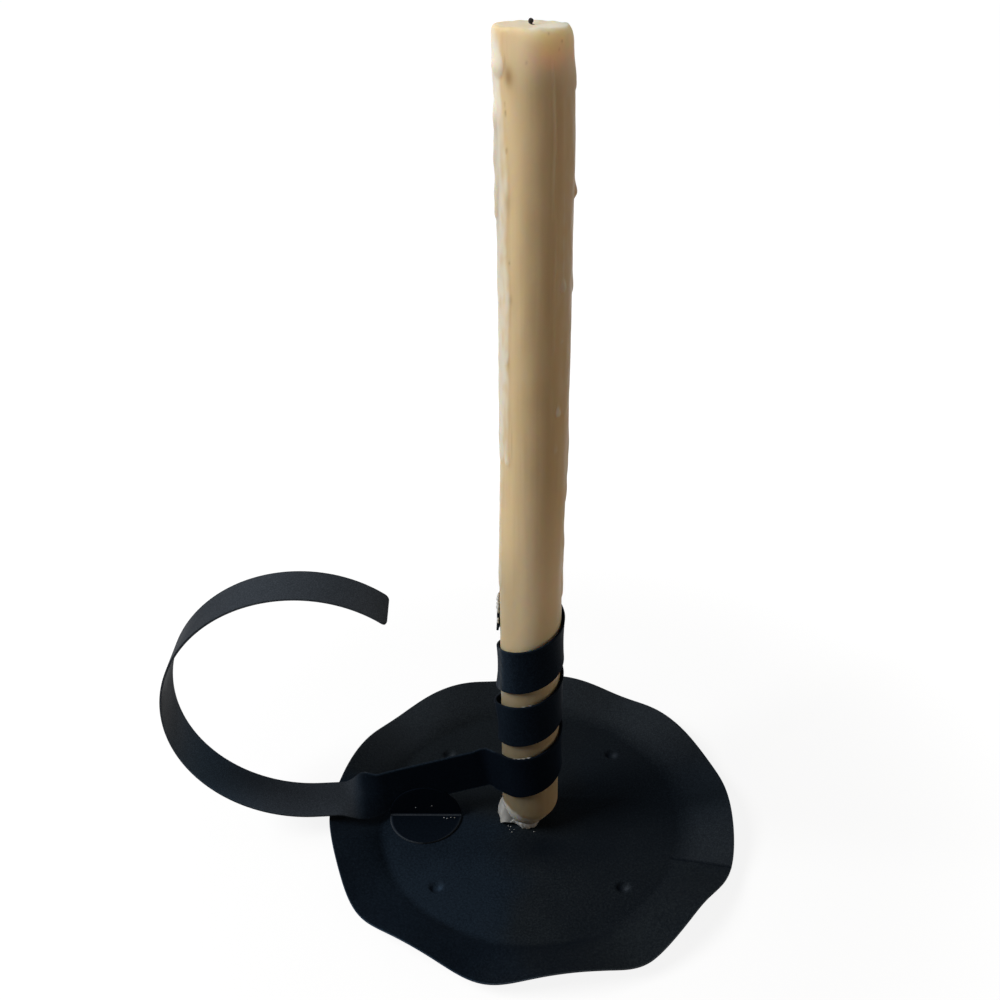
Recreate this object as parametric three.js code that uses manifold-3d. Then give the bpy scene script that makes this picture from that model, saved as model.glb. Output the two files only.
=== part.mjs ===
// A chamberstick of black sheet steel with a candle in it.
// A round drip pan has a wavy flared rim and four pressed feet. One long strip of steel makes the
// rest: a finger ring, a quarter twist, a sloping arm and a spiral that grips the candle.
// A disc folded on its diameter joins the arm to the pan.
// Millimetres, +Z up. The origin is the middle of the pan floor's underside, on the candle's axis.
// The handle points along -X, and -Y is the front.
import * as THREE from "three";
import { mergeVertices } from "three/addons/utils/BufferGeometryUtils.js";
import Module from "manifold-3d";

const wasm = await Module();
wasm.setup();

const degree = Math.PI / 180;
const up = new THREE.Vector3(0, 0, 1);

// Clearances
const seatGap = 0.1; // a piece to the piece that it stands on or is welded to
const gripGap = 0.25; // candle to spiral
const wickGap = 0.3; // wick to the bore in the wax
const crustGap = 0.3; // candle to the crust of set wax round its foot

// Drip pan
const panSheet = 0.8;
const floorRadius = 60; // middle of the crease where the floor turns up into the rim
const creaseWidth = 6.4;
const rimRadius = 79.1; // mean radius of the edge
const rimHeight = 6.9; // mean height of the edge above the floor
const waveCount = 9;
const waveLift = 2.2; // how far a wave lifts or drops the edge
const waveReach = 0.75; // how much further out the edge lies in a dip
const waveSharpness = 0.08; // makes the dips narrower than the crests
const dipAngle = 178.5 * degree; // a dip lies under the handle

// Pressed feet
const footSpacing = 70;
const footRadius = 3.6; // where the foot leaves the floor
const footPadRadius = 1.7; // flat end
const footDepth = 1.3;

// Strip of the handle and spiral
const stripWidth = 18.2;
const stripThickness = 0.8;
const stripCorner = 2.0; // rounding of the corners at the strip's two ends
const hoopRadius = 50.5; // to the middle of the strip
const hoopSweep = 221 * degree;
const flatLength = 12.2; // level stretch between the hoop and the twist
const twistLength = 12;
const twistAngle = 91.8 * degree;
const twistSetback = 2.4; // from the flat floor's edge outwards to the twist
const rimClearance = 4.85; // from the rim's dip up to the strip
const handleYaw = 3.8 * degree; // how far the hoop is turned towards the front
const yawBendRadius = 20;
const armClimb = 17.6 * degree;
const elbowRadius = 5;
const leadLength = 10.4; // straight stretch between the elbow and the spiral
const spiralStart = 223 * degree; // where the strip first touches the candle
const spiralPitch = 25.2;
const spiralSweep = 1035 * degree;
const spiralWidth = 16.6; // width of the strip in the upper turns

// Bracket
const bracketRadius = 14.3;
const bracketSheet = 0.8;
const bracketBendRadius = 0.8; // inside the fold
const bracketSetback = 0.7; // from the flat floor's edge inwards to the bracket

// Candle
const candleRadius = 10.9;
const candleHeight = 292.5;
const buttRadius = 5.4; // foot of the tapered butt
const buttHeight = 11;
const buttBulge = 1.1; // how far the butt swells beyond a straight taper
const shoulderDepth = 3; // rounded shoulder at the top
const meltRadius = 9.4; // edge of the shallow pool that burning left
const meltDepth = 0.7;

// Runs of wax on the candle: angle, start below the top, length, radius of the run and of its drop
const waxRuns = [
  [183 * degree, 3, 122, 1.6, 1.9],
  [196 * degree, 2, 13, 2.0, 2.6],
  [206 * degree, 6, 58, 1.3, 1.6],
  [190 * degree, 48, 50, 1.4, 1.8],
  [3 * degree, 4, 15, 1.8, 2.2],
  [-5 * degree, 8, 68, 1.3, 1.6],
  [-44 * degree, 22, 54, 1.1, 1.4],
  [-41 * degree, 78, 34, 1.0, 1.4],
  [118 * degree, 3, 84, 1.5, 1.9],
  [62 * degree, 2, 36, 1.4, 1.8],
];
const runSink = 0.7; // share of a run's radius that lies inside the candle

// Wick
const wickRadius = 0.8;
const burntRadius = 0.5;
const wickStandUp = 2.5; // from the melted pool up to its tip
const wickLean = 0.9;
const wickKnob = 0.7; // radius of the charred tip

// Crust of set wax round the candle's foot, heavier on one side
const crustHeavyAngle = 235 * degree;
const crustThickness = 0.9;
const crustLeastThickness = 0.45;
const crustHeight = 3.2;
const crustLeastHeight = 1.2;
const crustRagged = 0.16; // share by which its height and thickness vary
const crustFlakeAngle = 196 * degree; // the tall flake that stands off towards the handle
const crustFlakeSpread = 24 * degree;
const crustFlakeHeight = 7.6;
const crustFlakeReach = 6.2;

// Facets
const roundSegments = 56;
const smallSegments = 24; // feet
const tinySegments = 12; // wick and runs of wax
const segmentsPerWave = 10;
const hoopStep = 4 * degree;
const spiralStep = 9 * degree;
const leadSteps = 4;
const elbowSteps = 8;
const yawSteps = 2;
const twistSteps = 14;
const cornerSteps = 4;

// Colours and finish
const blackSteel = new THREE.MeshStandardMaterial({ color: 0x1b222b, roughness: 0.55, metalness: 0.35 });
const ivoryWax = new THREE.MeshStandardMaterial({ color: 0xc9ae84, roughness: 0.5, metalness: 0 });
const whiteWax = new THREE.MeshStandardMaterial({ color: 0xe6e2d6, roughness: 0.6, metalness: 0 });
const charredCotton = new THREE.MeshStandardMaterial({ color: 0x15130f, roughness: 0.95, metalness: 0 });

const floorTop = panSheet;
const standHeight = floorTop + seatGap;

// A closed geometry as a solid that can be joined and cut
function solidFrom(geometry) {
  const bare = new THREE.BufferGeometry();
  bare.setAttribute("position", geometry.getAttribute("position"));
  bare.setIndex(geometry.index);
  const merged = mergeVertices(bare, 1e-4);
  const corners = merged.index.array;
  const kept = [];
  for (let i = 0; i < corners.length; i += 3) {
    const [a, b, c] = corners.slice(i, i + 3);
    if (a !== b && b !== c && c !== a) kept.push(a, b, c);
  }
  return new wasm.Manifold(
    new wasm.Mesh({
      numProp: 3,
      vertProperties: merged.getAttribute("position").array,
      triVerts: new Uint32Array(kept),
    }),
  );
}

function geometryFrom(solid) {
  const mesh = solid.getMesh();
  const geometry = new THREE.BufferGeometry();
  geometry.setAttribute("position", new THREE.BufferAttribute(mesh.vertProperties, 3));
  geometry.setIndex(new THREE.BufferAttribute(mesh.triVerts, 1));
  geometry.computeVertexNormals();
  return geometry;
}

// A profile of [radius, height] pairs turned about the Z axis
function turned(profile, segments = roundSegments) {
  const points = profile.map(([radius, height]) => new THREE.Vector2(radius, height));
  return new THREE.LatheGeometry(points, segments).rotateX(90 * degree);
}

// Moves each vertex of a turned geometry: place(radius, angle, height) gives its new radius and height
function reshape(geometry, place) {
  const position = geometry.getAttribute("position");
  for (let i = 0; i < position.count; i += 1) {
    const angle = Math.atan2(position.getY(i), position.getX(i));
    const radius = Math.hypot(position.getX(i), position.getY(i));
    const [newRadius, newHeight] = place(radius, angle, position.getZ(i));
    position.setXYZ(i, newRadius * Math.cos(angle), newRadius * Math.sin(angle), newHeight);
  }
  return geometry;
}

// Height of the rim's wave at an angle: about 1 on a crest and -1 in a dip
function wave(angle) {
  const turn = waveCount * (angle - dipAngle);
  return -Math.cos(turn) - waveSharpness * Math.cos(2 * turn);
}

// Rise of the rim at a radius, from 0 in the floor to 1 at the edge. The crease is a soft bend.
function rimRise(radius) {
  const past = radius - floorRadius;
  const half = creaseWidth / 2;
  const bent = past < half ? Math.max(past + half, 0) ** 2 / (4 * half) : past;
  return bent / (rimRadius - floorRadius);
}

const flatRadius = floorRadius - creaseWidth / 2;
const dipHeight = rimHeight + waveLift * wave(dipAngle);

// The pan is turned as a flat disc, then its rim is lifted into waves.
function makePan() {
  const flareRadius = floorRadius + creaseWidth / 2;
  const crease = [0, 0.25, 0.5, 0.75].map((share) => flatRadius + share * creaseWidth);
  const flare = [0, 0.35, 0.7, 1].map((share) => flareRadius + share * (rimRadius - flareRadius));
  const radii = [...crease, ...flare];
  const underside = radii.map((radius) => [radius, 0]);
  const topside = radii.map((radius) => [radius, panSheet]).reverse();
  const disc = turned([[0, 0], ...underside, ...topside, [0, panSheet]], waveCount * segmentsPerWave);
  const shell = reshape(disc, (radius, angle, height) => {
    const rise = rimRise(radius);
    const lift = rimHeight + waveLift * wave(angle);
    return [radius - waveReach * wave(angle) * rise, height + lift * rise];
  });
  let pan = solidFrom(shell);
  for (const [x, y] of footPlaces()) {
    pan = pan.add(solidFrom(footPunch(0, panSheet / 2).translate(x, y, 0)));
    pan = pan.subtract(solidFrom(footPunch(panSheet, panSheet).translate(x, y, 0)));
  }
  return geometryFrom(pan);
}

function footPlaces() {
  const half = footSpacing / 2;
  return [
    [-half, -half],
    [half, -half],
    [half, half],
    [-half, half],
  ];
}

// The form that presses a foot, hanging from a level and standing up above it
function footPunch(level, above) {
  const shoulder = (footRadius + footPadRadius) / 2;
  return turned(
    [
      [0, level - footDepth],
      [footPadRadius, level - footDepth],
      [shoulder, level - footDepth * 0.6],
      [footRadius, level],
      [footRadius, level + above],
      [0, level + above],
    ],
    smallSegments,
  );
}

// A pen that walks along the middle of the strip and carries the strip's directions with it:
// ahead along the strip, across its width, and out of its face.
class StripPen {
  constructor(position, ahead, across) {
    this.position = position.clone();
    this.ahead = ahead.clone();
    this.across = across.clone();
    this.stations = [];
    this.mark();
  }

  face() {
    return this.ahead.clone().cross(this.across);
  }

  mark() {
    const { position, ahead, across } = this;
    this.stations.push({
      position: position.clone(),
      ahead: ahead.clone(),
      across: across.clone(),
      width: stripWidth,
    });
  }

  turn(axis, angle) {
    this.ahead.applyAxisAngle(axis, angle);
    this.across.applyAxisAngle(axis, angle);
  }

  // Walks a length in equal steps, turning evenly about an axis on the way.
  walk(length, steps, angle, axis) {
    for (let i = 0; i < steps; i += 1) {
      this.turn(axis, angle / steps / 2);
      this.position.addScaledVector(this.ahead, length / steps);
      this.turn(axis, angle / steps / 2);
      this.mark();
    }
  }

  straight(length) {
    this.walk(length, 1, 0, up);
  }

  // Bends round an axis at a radius. On a slope the bend becomes a screw thread.
  bend(radius, angle, steps, axis) {
    const along = Math.sqrt(1 - this.ahead.dot(axis) ** 2);
    const chord = 2 * radius * Math.sin(Math.abs(angle) / steps / 2);
    this.walk((steps * chord) / along, steps, angle, axis);
  }

  // Twists a sloping strip and brings it level, faster as it comes to lie flat.
  twist(length, angle, slope, steps) {
    for (let i = 0; i < steps; i += 1) {
      const share = (step) => Math.cos((90 * degree * step) / steps);
      const side = this.ahead.clone().cross(up).normalize();
      this.turn(side, slope * (share(i) - share(i + 1)));
      this.walk(length / steps, 1, angle / steps, this.ahead.clone());
    }
  }

  // Bends up to the strip's end, with short steps where the strip's corners are rounded off
  bendToEnd(radius, angle, step, axis) {
    const endAngle = stripCorner / radius;
    this.bend(radius, angle - endAngle, Math.ceil((angle - endAngle) / step), axis);
    this.bend(radius, endAngle, cornerSteps, axis);
  }
}

const spiralRadius = candleRadius + gripGap + stripThickness / 2;
const spiralClimb = Math.atan2(spiralPitch, 2 * Math.PI * spiralRadius);

// Directions of a strip that goes round the candle at an angle and climbs
function spiralDirections() {
  const round = new THREE.Vector3(-Math.sin(spiralStart), Math.cos(spiralStart), 0);
  const ahead = round.clone().multiplyScalar(Math.cos(spiralClimb)).addScaledVector(up, Math.sin(spiralClimb));
  const across = up.clone().multiplyScalar(Math.cos(spiralClimb)).addScaledVector(round, -Math.sin(spiralClimb));
  return { ahead, across };
}

// The strip narrows over the first turn of the spiral, at its lower edge.
function narrow(station) {
  const share = THREE.MathUtils.smoothstep(station.position.z, 0, spiralPitch);
  station.width = THREE.MathUtils.lerp(stripWidth, spiralWidth, share);
  station.position.addScaledVector(station.across, (stripWidth - station.width) / 2);
}

// Walks from the foot of the spiral both ways: up round the candle, and down to the finger ring.
function walkStrip() {
  const foot = new THREE.Vector3(Math.cos(spiralStart), Math.sin(spiralStart), 0).multiplyScalar(spiralRadius);
  const { ahead, across } = spiralDirections();

  const rising = new StripPen(foot, ahead, across);
  rising.bendToEnd(spiralRadius, spiralSweep, spiralStep, up);
  rising.stations.forEach(narrow);

  const falling = new StripPen(foot, ahead.clone().negate(), across);
  falling.walk(leadLength, leadSteps, spiralClimb - armClimb, falling.face());
  falling.bend(elbowRadius, 270 * degree - spiralStart, elbowSteps, up);
  const armRun = flatRadius + twistSetback + falling.position.x;
  falling.straight(armRun / Math.cos(armClimb));
  const armEnd = falling.position.clone();
  falling.bend(yawBendRadius, handleYaw, yawSteps, up);
  falling.twist(twistLength, twistAngle, armClimb, twistSteps);
  falling.straight(flatLength);
  const flatLevel = falling.position.z;
  falling.bendToEnd(hoopRadius, hoopSweep, hoopStep, falling.across.clone());

  const backwards = falling.stations.slice(1).reverse();
  backwards.forEach((station) => station.ahead.negate());
  const stations = [...backwards, ...rising.stations];
  const lift = floorTop + dipHeight + rimClearance + stripThickness / 2 - flatLevel;
  stations.forEach((station) => {
    station.position.z += lift;
  });
  armEnd.z += lift;
  return { stations, armEnd, spiralSteps: rising.stations.length };
}

const strip = walkStrip();

// Half width of the strip at a distance from its nearer end
function halfWidth(width, fromEnd) {
  const inset = Math.max(stripCorner - fromEnd, 0);
  return width / 2 - stripCorner + Math.sqrt(stripCorner ** 2 - inset ** 2);
}

// The four corners of the strip's section at each station
function stripSections({ stations }) {
  const distances = [0];
  for (let i = 1; i < stations.length; i += 1) {
    distances.push(distances[i - 1] + stations[i].position.distanceTo(stations[i - 1].position));
  }
  const total = distances[distances.length - 1];
  return stations.map(({ position, ahead, across, width }, i) => {
    const half = halfWidth(width, Math.min(distances[i], total - distances[i]));
    const face = ahead.clone().cross(across);
    const sides = [
      [1, 1],
      [-1, 1],
      [-1, -1],
      [1, -1],
    ];
    return sides.map(([wide, thick]) =>
      position
        .clone()
        .addScaledVector(across, wide * half)
        .addScaledVector(face, (thick * stripThickness) / 2),
    );
  });
}

function makeStrip() {
  const sections = stripSections(strip);
  const positions = sections.flat().flatMap((corner) => corner.toArray());
  const index = [0, 3, 2, 0, 2, 1];
  for (let i = 0; i < sections.length - 1; i += 1) {
    for (let k = 0; k < 4; k += 1) {
      const a = 4 * i + k;
      const b = 4 * i + ((k + 1) % 4);
      index.push(a, b, b + 4, a, b + 4, a + 4);
    }
  }
  const last = 4 * (sections.length - 1);
  index.push(last, last + 1, last + 2, last, last + 2, last + 3);
  const geometry = new THREE.BufferGeometry();
  geometry.setAttribute("position", new THREE.Float32BufferAttribute(positions, 3));
  geometry.setIndex(index);
  geometry.computeVertexNormals();
  return geometry;
}

// Least gap between the turns of the spiral, measured on the corners of its sections
function leastTurnGap() {
  const spiral = stripSections(strip).slice(-strip.spiralSteps);
  const halfTurn = Math.round(Math.PI / spiralStep);
  let least = Infinity;
  spiral.forEach((lower, i) => {
    const above = spiral.slice(i + halfTurn).flat();
    lower.forEach((corner) => {
      above.forEach((other) => {
        least = Math.min(least, corner.distanceTo(other));
      });
    });
  });
  return least;
}

// The bracket is an angle section, cut round in plan and in front view, so that it unfolds to a disc.
function makeBracket() {
  const outerBend = bracketBendRadius + bracketSheet;
  const reach = bracketRadius + outerBend;
  const section = new THREE.Shape();
  section.moveTo(-reach, 0);
  section.lineTo(-outerBend, 0);
  section.absarc(-outerBend, outerBend, outerBend, -90 * degree, 0, false);
  section.lineTo(0, reach);
  section.lineTo(-bracketSheet, reach);
  section.lineTo(-bracketSheet, outerBend);
  section.absarc(-outerBend, outerBend, bracketBendRadius, 0, -90 * degree, true);
  section.lineTo(-reach, bracketSheet);
  section.closePath();
  const angle = new THREE.ExtrudeGeometry(section, {
    depth: 2 * bracketRadius,
    bevelEnabled: false,
    curveSegments: 6,
  });
  angle.rotateX(90 * degree).rotateZ(90 * degree).translate(-bracketRadius, 0, 0);
  const cutter = new THREE.CylinderGeometry(bracketRadius, bracketRadius, 4 * bracketRadius, roundSegments);
  const planCut = solidFrom(cutter.clone().rotateX(90 * degree).translate(0, -outerBend / 2, 0));
  const frontCut = solidFrom(cutter.clone().translate(0, 0, outerBend / 2));
  const folded = geometryFrom(solidFrom(angle).intersect(planCut).intersect(frontCut));
  const armFront = strip.armEnd.y - stripThickness / 2;
  const middle = -flatRadius + bracketSetback + bracketRadius;
  return folded.translate(middle, armFront - seatGap, standHeight);
}

// Radius of the candle's tapered butt at a height above its foot
function buttProfile(height) {
  const share = Math.min(height / buttHeight, 1);
  const taper = buttRadius + (candleRadius - buttRadius) * share;
  return taper + 4 * buttBulge * share * (1 - share);
}

// A run of wax, thin at the top, with a drop hanging at its lower end
function waxRun(length, radius, drop) {
  return turned(
    [
      [0, -length],
      [drop * 0.75, -length + drop * 0.4],
      [drop, -length + drop * 1.3],
      [drop * 0.85, -length + drop * 2.4],
      [radius, -length + drop * 4],
      [radius * 0.9, -length * 0.3],
      [radius * 0.6, -radius],
      [0, 0],
    ],
    tinySegments,
  );
}

function makeCandle() {
  const bore = wickRadius + wickGap;
  const poolFloor = candleHeight - meltDepth;
  const butt = [0, 0.15, 0.3, 0.5, 0.75, 1].map((share) => {
    const height = share * buttHeight;
    return [buttProfile(height), height];
  });
  const shoulder = [0, 30, 60].map((turn) => [
    meltRadius + (candleRadius - meltRadius) * Math.cos(turn * degree),
    candleHeight - shoulderDepth * (1 - Math.sin(turn * degree)),
  ]);
  const pool = [
    [meltRadius, candleHeight],
    [meltRadius * 0.85, candleHeight - meltDepth * 0.35],
    [meltRadius * 0.55, candleHeight - meltDepth * 0.8],
    [bore, poolFloor],
  ];
  const body = turned([[bore, 0], ...butt, ...shoulder, ...pool, [bore, 0]]);
  let candle = solidFrom(body);
  for (const [angle, start, length, radius, drop] of waxRuns) {
    const out = candleRadius - runSink * radius;
    const run = waxRun(length, radius, drop);
    run.translate(out * Math.cos(angle), out * Math.sin(angle), candleHeight - start);
    candle = candle.add(solidFrom(run));
  }
  return geometryFrom(candle).translate(0, 0, standHeight);
}

// The wick runs the whole length of the candle. Its burnt end is thinner, leans over and ends in a knob.
function makeWick() {
  const poolFloor = candleHeight - meltDepth;
  const cord = turned(
    [
      [0, 0],
      [wickRadius, 0],
      [wickRadius, poolFloor],
      [0, poolFloor],
    ],
    tinySegments,
  );
  const tip = new THREE.Vector3(-wickLean, 0, poolFloor + wickStandUp - wickKnob);
  const burnt = new THREE.ExtrudeGeometry(new THREE.Shape().absarc(0, 0, burntRadius, 0, 2 * Math.PI), {
    steps: 6,
    curveSegments: 5,
    extrudePath: new THREE.QuadraticBezierCurve3(
      new THREE.Vector3(0, 0, poolFloor - wickRadius),
      new THREE.Vector3(0, 0, poolFloor + wickStandUp / 3),
      tip,
    ),
  });
  const knob = new THREE.SphereGeometry(wickKnob, 12, 8).translate(tip.x, tip.y, tip.z);
  const wick = solidFrom(cord).add(solidFrom(burnt)).add(solidFrom(knob));
  return geometryFrom(wick).translate(0, 0, standHeight);
}

// The crust hugs the butt, and stands off it in one tall flake.
function makeCrust() {
  const bell = (angle, middle, spread) => {
    const off = Math.atan2(Math.sin(angle - middle), Math.cos(angle - middle));
    return Math.exp(-((off / spread) ** 2));
  };
  const levels = [0, 0.3, 0.6, 0.85];
  const inside = levels.map((share) => [1, share]).reverse();
  const outside = levels.map((share) => [2, share]);
  const ring = turned([...outside, [1.5, 1], ...inside, [2, 0]], roundSegments);
  const crust = reshape(ring, (layer, angle, share) => {
    const heavy = (1 + Math.cos(angle - crustHeavyAngle)) / 2;
    const thickness = THREE.MathUtils.lerp(crustLeastThickness, crustThickness, heavy);
    const band = THREE.MathUtils.lerp(crustLeastHeight, crustHeight, heavy);
    const flake = bell(angle, crustFlakeAngle, crustFlakeSpread);
    const ragged = 1 + crustRagged * (Math.sin(5 * angle) + Math.sin(11 * angle) / 2);
    const height = share * (band * ragged + crustFlakeHeight * flake);
    const hug = buttProfile(height) + crustGap + (layer - 1) * thickness * ragged;
    return [hug + crustFlakeReach * flake * (1 - share) * (layer - 1), height];
  });
  return crust.translate(0, 0, standHeight);
}

const chamberstick = new THREE.Group();
const pieces = [
  ["drip_pan", makePan(), blackSteel],
  ["spiral_strip", makeStrip(), blackSteel],
  ["strip_bracket", makeBracket(), blackSteel],
  ["candle", makeCandle(), ivoryWax],
  ["wick", makeWick(), charredCotton],
  ["wax_crust", makeCrust(), whiteWax],
];
for (const [name, geometry, material] of pieces) {
  const mesh = new THREE.Mesh(geometry, material);
  mesh.name = name;
  chamberstick.add(mesh);
}

console.log("least gap between the turns of the spiral, mm:", leastTurnGap().toFixed(2));

export default chamberstick;
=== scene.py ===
"""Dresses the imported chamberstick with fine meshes, wax and powder coat, in the frame of its CAD model.

Lengths are millimetres until a mesh is made. Meshes, lamps and camera are in metres.
Angles are radians, unless a name or a comment says degrees.
+Z is up along the candle, the handle points along -X, and the camera looks from -Y.
"""
import math

import bmesh
import bpy
import numpy as np
from mathutils import Matrix, Quaternion, Vector, noise


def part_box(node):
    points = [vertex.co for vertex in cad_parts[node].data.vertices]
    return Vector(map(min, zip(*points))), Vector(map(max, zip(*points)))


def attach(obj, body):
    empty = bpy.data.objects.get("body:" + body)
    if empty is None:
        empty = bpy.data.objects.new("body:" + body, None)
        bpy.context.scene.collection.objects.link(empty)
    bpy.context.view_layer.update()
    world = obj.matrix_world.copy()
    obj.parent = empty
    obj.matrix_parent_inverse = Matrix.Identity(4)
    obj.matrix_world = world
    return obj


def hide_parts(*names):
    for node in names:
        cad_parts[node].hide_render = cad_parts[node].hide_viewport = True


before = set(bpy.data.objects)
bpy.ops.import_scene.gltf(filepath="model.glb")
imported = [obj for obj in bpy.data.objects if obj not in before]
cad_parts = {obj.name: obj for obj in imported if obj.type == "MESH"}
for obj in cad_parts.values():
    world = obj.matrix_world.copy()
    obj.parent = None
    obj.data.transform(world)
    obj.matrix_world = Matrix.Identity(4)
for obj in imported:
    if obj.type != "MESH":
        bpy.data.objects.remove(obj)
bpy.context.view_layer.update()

MM = 0.001
DEGREE = math.pi / 180
UP = Vector((0, 0, 1))
SHARP_ANGLE = 40 * DEGREE

# Clearances
SEAT_GAP = 0.1
GRIP_GAP = 0.25
CRUST_SEAT = 0.03

# Drip pan
PAN_SHEET = 0.8
FLOOR_RADIUS = 60
FLAT_RADIUS = 56.8
CREASE_WIDTH = 2.4
RIM_RADIUS = 79.1
RIM_HEIGHT = 6.9
RIM_FLARE = 0.8
WAVE_COUNT = 9
WAVE_LIFT = 2.2
WAVE_REACH = 0.75
WAVE_SHARPNESS = 0.08
RIM_BULGE = 1.6
DIP_ANGLE = 178.5 * DEGREE
FOLD_ANGLE = -20.8 * DEGREE
FOLD_DEPTH = 0.8
FOLD_HALF_WIDTH = 0.55
DENT_DEPTH = 0.16
FEET_FROM = 44
PAN_COLUMNS = 440
PAN_EDGE_WEAR = 0.31

# Pressed feet
FOOT_SPACING = 70
FOOT_RADIUS = 3.1
FOOT_PAD_RADIUS = 1.3
FOOT_DEPTH = 1.3

# Strip of the handle and spiral
STRIP_WIDTH = 18.2
STRIP_THICKNESS = 0.8
STRIP_CORNER = 2.0
STRIP_EDGE = 0.18
HOOP_RADIUS = 50.5
HOOP_SWEEP = 221 * DEGREE
FLAT_LENGTH = 9.3
TWIST_LENGTH = 19.4
TWIST_ANGLE = 91.8 * DEGREE
TWIST_SETBACK = -2.0
RIM_CLEARANCE = 4.85
HANDLE_YAW = 3.8 * DEGREE
YAW_BEND_RADIUS = 20
ARM_CLIMB = 17.6 * DEGREE
ELBOW_RADIUS = 5
LEAD_LENGTH = 10.4
SPIRAL_START = 223 * DEGREE
SPIRAL_PITCH = 25.2
SPIRAL_SWEEP = 1035 * DEGREE
SPIRAL_WIDTH = 17.6
SLANT_DEPTH = 3.9
SLANT_LENGTH = 10
LOOSE_GAP = 1.2
LOOSE_LEVEL = 62
LOOSE_SPAN = 8
LOOSE_ANGLE = 187 * DEGREE
LOOSE_SPREAD = 24 * DEGREE
WOUND_FROM = -15
HOOP_STEP = 1.5 * DEGREE
SPIRAL_STEP = 3 * DEGREE
CORNER_STEPS = 8

# Bracket
BRACKET_RADIUS = 14.3
BRACKET_SHEET = 0.8
BRACKET_BEND_RADIUS = 0.8
BRACKET_SETBACK = 0.7
BRACKET_STEPS = 24
BRACKET_BEND_STEPS = 9
# The floor half's low film is painted shade, and its edge gets a painted highlight
BRACKET_SHADE_FILM = 0.18
BRACKET_EDGE_HIGHLIGHT = 0.39

# Candle
CANDLE_RADIUS = 10.9
CANDLE_HEIGHT = 292.5
BUTT_RADIUS = 5.4
BUTT_HEIGHT = 11
BUTT_BULGE = 1.1
SHOULDER_DEPTH = 4.4
MELT_RADIUS = 9.4
POOL_DEPTH = 0.15
BOW = 1.05
CHIP_DEPTH = 2.1
CHIP_ANGLE = 335 * DEGREE
SHADE_ANGLE = 330 * DEGREE
CANDLE_ROWS = 370
CANDLE_COLUMNS = 240

# Wick
WICK_RADIUS = 0.8
BURNT_RADIUS = 0.42
WICK_ROOT = 1.0
WICK_LEAN = 1.5
WICK_KNOB = 0.72
WICK_KNOB_HEIGHT = 0.95

# Crust of set wax
CRUST_HEAVY_ANGLE = 258 * DEGREE
CRUST_THICKNESS = 1.5
CRUST_LEAST_THICKNESS = 0.4
CRUST_HEIGHT = 4.2
CRUST_LEAST_HEIGHT = 0.8
CRUST_RAGGED = 0.4
CRUST_FLAKE_ANGLE = 187 * DEGREE
CRUST_FLAKE_HEIGHT = 9.6
CRUST_FLAKE_REACH = 5.5
CRUST_NOTCH_ANGLE = 214 * DEGREE

# Camera, fitted to the photo. Its place is in metres, its lens and sensor in millimetres
CAMERA_PLACE = (0, -0.305, 0.3248)
CAMERA_TILT = 59.9 * DEGREE
CAMERA_ROLL = 0.2 * DEGREE
CAMERA_LENS = 38.09
CAMERA_SENSOR = 36
CAMERA_SHIFT = -0.031

FLOOR_TOP = PAN_SHEET
STAND_HEIGHT = FLOOR_TOP + SEAT_GAP
SPIRAL_RADIUS = CANDLE_RADIUS + GRIP_GAP + STRIP_THICKNESS / 2
SPIRAL_CLIMB = math.atan2(SPIRAL_PITCH, 2 * math.pi * SPIRAL_RADIUS)


class Graph:
    """The nodes of a material or world, made one call at a time. A call gives back the new node's output."""

    def __init__(self, owner, shader="Principled BSDF"):
        owner.use_nodes = True
        self.owner = owner
        self.tree = owner.node_tree
        self.shader = self.tree.nodes[shader]

    def feed(self, socket, value):
        if isinstance(value, bpy.types.NodeSocket):
            self.tree.links.new(value, socket)
        else:
            socket.default_value = value

    def add(self, kind, inputs, output=0, **fields):
        node = self.tree.nodes.new("ShaderNode" + kind)
        for field, value in fields.items():
            setattr(node, field, value)
        for key, value in inputs.items():
            self.feed(node.inputs[key], value)
        return node.outputs[output]

    def noise(self, scale, detail, stretch=(1, 1, 1)):
        place = self.add("TexCoord", {}, "Object")
        spread = self.add("Mapping", {"Vector": place, "Scale": stretch})
        return self.add("TexNoise", {"Vector": spread, "Scale": scale, "Detail": detail}, "Fac")

    def attribute(self, label):
        return self.add("Attribute", {}, "Fac", attribute_name=label)

    def math(self, operation, first, second):
        return self.add("Math", {0: first, 1: second}, operation=operation)

    def ramp(self, value, low, high, to_low=0.0, to_high=1.0):
        inputs = {"Value": value, "From Min": low, "From Max": high, "To Min": to_low, "To Max": to_high}
        return self.add("MapRange", inputs, interpolation_type="SMOOTHSTEP")

    def mix(self, share, first, second, blend="MIX"):
        inputs = {"Factor": share, 6: first, 7: second}
        return self.add("Mix", inputs, 2, data_type="RGBA", blend_type=blend)

    def bump(self, height, strength, distance):
        return self.add("Bump", {"Height": height, "Strength": strength, "Distance": distance * MM})

    def paint(self, **inputs):
        for label, value in inputs.items():
            self.feed(self.shader.inputs[label.replace("_", " ")], value)
        return self.owner


def material_graph(name):
    return Graph(bpy.data.materials.new(name))


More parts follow.
